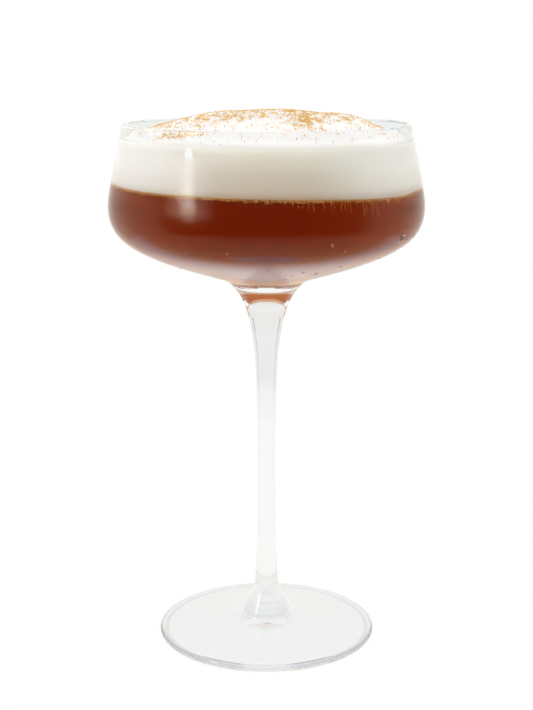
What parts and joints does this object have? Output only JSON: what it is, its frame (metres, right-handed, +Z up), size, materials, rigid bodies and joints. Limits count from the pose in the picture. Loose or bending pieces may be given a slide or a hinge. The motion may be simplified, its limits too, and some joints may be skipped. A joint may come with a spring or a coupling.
{
  "type": "pumpkin manhattan cocktail",
  "caption": "Stemmed coupe glass with a round-cornered bowl holding a dark red-brown cocktail under a thick white foam head dusted with ground cinnamon.",
  "frame": {"origin": "centre of the foot, on the surface the glass stands on", "axes": "+Z up along the stem; the picture looks along +Y, so -Y is the side shown and +X is on its right"},
  "size_m": [0.1018, 0.1018, 0.1763],
  "materials": {
    "clear_glass": "polished, colourless, with a film of condensation on the lower bowl",
    "dark_drink": "clear dark red-brown liquid",
    "white_foam": "dense fine foam, white with a cream tint, with orange-brown cinnamon on top",
    "ground_cinnamon": "dry ground cinnamon, golden brown; its grains are fused to the foam"
  },
  "bodies": {
    "root": {"glass": "clear_glass", "drink": "dark_drink", "foam": "white_foam"}
  },
  "joints": []
}
